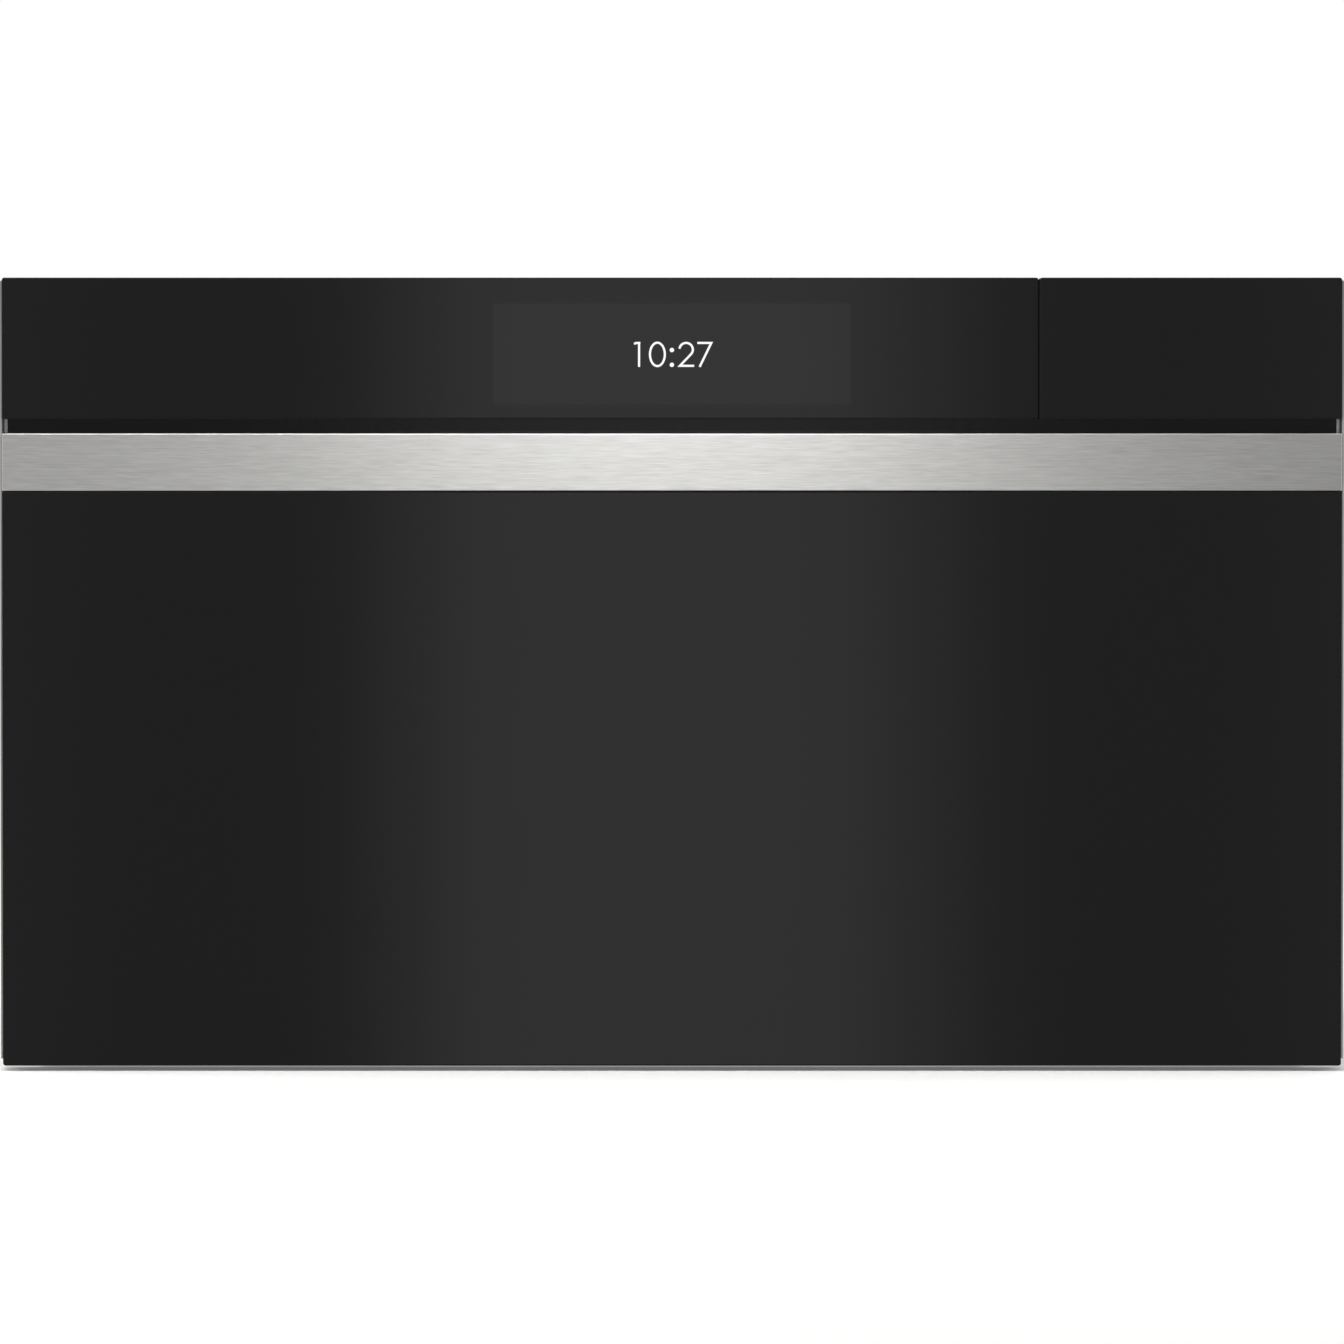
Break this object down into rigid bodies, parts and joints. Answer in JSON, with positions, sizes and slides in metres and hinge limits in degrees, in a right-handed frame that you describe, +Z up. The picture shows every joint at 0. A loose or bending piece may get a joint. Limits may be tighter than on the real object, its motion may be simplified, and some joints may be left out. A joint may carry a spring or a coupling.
{
  "type": "combi oven",
  "caption": "Built-in combination steam oven with a drop-down black glass door, steel pull strip, glass control fascia with display and a push-to-open water drawer.",
  "frame": {"origin": "middle of the width and of the depth, on the plane of the runners' soles", "axes": "+X along the front towards the water drawer, +Y from the front to the back, +Z up"},
  "size_m": [0.759, 0.5752, 0.4481],
  "materials": {
    "black_glass": "gloss, back-coated black, ground edges",
    "clear_glass": "clear float glass",
    "brushed_stainless": "brushed along its length",
    "cavity_stainless": "satin stainless sheet",
    "bright_wire": "polished wire",
    "black_anodised": "black anodised",
    "black_enamel": "black enamel",
    "galvanised_sheet": "zinc-coated sheet",
    "spring_steel": "zinc plated",
    "silicone": "matt silicone",
    "black_plastic": "moulded, fine grain",
    "tank_plastic": "translucent moulding",
    "blower_plastic": "moulded",
    "display": "dark display panel",
    "circuit_board": "solder mask",
    "motor_steel": "plated steel",
    "heater_sheath": "oxidised sheath",
    "lamp_glass": "frosted lamp cover",
    "mineral_wool": "fibrous wool"
  },
  "bodies": {
    "oven_body": {"air_duct": "galvanised_sheet", "blower_housing": "galvanised_sheet", "blower_motor": "motor_steel", "cavity": "cavity_stainless", "cavity_lamp": "lamp_glass", "control_board": "circuit_board", "control_carrier": "black_plastic", "control_glass": "black_glass", "display_module": "display", "dock_valve": "black_plastic", "door_gasket": "silicone", "drain_sieve": "cavity_stainless", "drawer_bay": "galvanised_sheet", "exhaust_duct": "galvanised_sheet", "fan_motor": "motor_steel", "feed_hose": "silicone", "flap_motor": "motor_steel", "floor_pan": "galvanised_sheet", "front_plate": "black_enamel", "hinge_arms": "spring_steel", "hinge_sockets": "spring_steel", "insulation": "mineral_wool", "machine_shelf": "galvanised_sheet", "oven_tray": "cavity_stainless", "power_board": "circuit_board", "push_latch": "black_plastic", "rack_guides": "bright_wire", "rear_baffle": "cavity_stainless", "rear_panel": "galvanised_sheet", "ring_heater": "heater_sheath", "runners": "galvanised_sheet", "side_panels": "galvanised_sheet", "side_trims": "brushed_stainless", "slides_outer": "spring_steel", "steam_generator": "cavity_stainless", "steam_hose": "silicone", "temperature_probe": "cavity_stainless", "terminal_box": "black_plastic", "top_cover": "galvanised_sheet", "water_pump": "black_plastic", "wire_rack": "bright_wire"},
    "door": {"door_glass": "black_glass", "pull_strip": "brushed_stainless", "door_top_rail": "black_anodised", "door_foot": "black_enamel", "door_columns": "black_anodised", "door_middle_glass": "clear_glass", "door_inner_glass": "clear_glass", "hinge_channels": "spring_steel", "hinge_springs": "spring_steel"},
    "spring_rods": {"hinge_rods": "spring_steel"},
    "water_drawer": {"drawer_glass": "black_glass", "drawer_tray": "black_plastic", "water_tank": "tank_plastic", "tank_lid": "tank_plastic", "slides_inner": "spring_steel"},
    "slide_members": {"slides_middle": "spring_steel"},
    "convection_fan": {"convection_fan": "cavity_stainless"},
    "cooling_fan": {"blower_wheel": "blower_plastic"},
    "exhaust_flap": {"exhaust_flap": "motor_steel"}
  },
  "joints": [
    {"name": "door_hinge", "type": "hinge", "parent": "oven_body", "child": "door", "pos_m": [0, -0.27635, 0.022], "axis": [1, 0, 0], "range_deg": [0, 90], "stiffness_Nm_per_rad": 6, "springref_deg": -11.46},
    {"name": "spring_rod_slide", "type": "slide", "parent": "door", "child": "spring_rods", "axis": [0, 0, -1], "range_m": [0, 0.0103], "deforming": ["hinge_springs"]},
    {"name": "water_drawer_slide", "type": "slide", "parent": "oven_body", "child": "water_drawer", "axis": [0, -1, 0], "range_m": [-0.0015, 0.285]},
    {"name": "slide_member_slide", "type": "slide", "parent": "oven_body", "child": "slide_members", "axis": [0, -1, 0], "range_m": [-0.00075, 0.1425]},
    {"name": "convection_fan_spin", "type": "hinge", "parent": "oven_body", "child": "convection_fan", "pos_m": [0, 0.1645, 0.191], "axis": [0, 1, 0], "continuous": true},
    {"name": "cooling_fan_spin", "type": "hinge", "parent": "oven_body", "child": "cooling_fan", "pos_m": [-0.125, 0.17665, 0.3804], "axis": [1, 0, 0], "continuous": true},
    {"name": "exhaust_flap_turn", "type": "hinge", "parent": "oven_body", "child": "exhaust_flap", "pos_m": [0.06, 0.08185, 0.3722], "axis": [1, 0, 0], "range_deg": [0, 90]}
  ],
  "couplings": [
    {"joint": "spring_rod_slide", "follows": "door_hinge", "m_per_rad": 0.0065},
    {"joint": "slide_member_slide", "follows": "water_drawer_slide", "ratio": 0.5}
  ]
}
